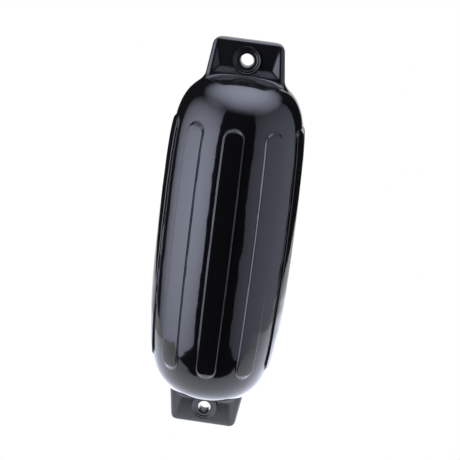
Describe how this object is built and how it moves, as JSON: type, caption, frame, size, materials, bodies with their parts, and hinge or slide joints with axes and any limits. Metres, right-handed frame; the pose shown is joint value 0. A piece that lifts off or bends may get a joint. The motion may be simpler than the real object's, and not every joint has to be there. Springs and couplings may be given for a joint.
{
  "type": "boat fender",
  "caption": "Inflatable ribbed boat fender in glossy vinyl, a long barrel with rounded ends and a flat moulded rope eye at each end.",
  "frame": {"origin": "the middle of the barrel, on its axis, halfway between the outer ends of the two eye lugs", "axes": "+Z along the barrel towards the upper eye, as the fender hangs; the eye holes run along Y, the flat lugs are wide along X, and the valve is on the +Y side of the upper shoulder"},
  "size_m": [0.2582, 0.2626, 0.762],
  "materials": {
    "shell_vinyl": "glossy moulded vinyl",
    "valve_vinyl": "satin",
    "screw_plastic": "satin white nylon"
  },
  "bodies": {
    "root": {"fender_shell": "shell_vinyl", "valve_body": "valve_vinyl", "valve_screw": "screw_plastic"}
  },
  "joints": []
}
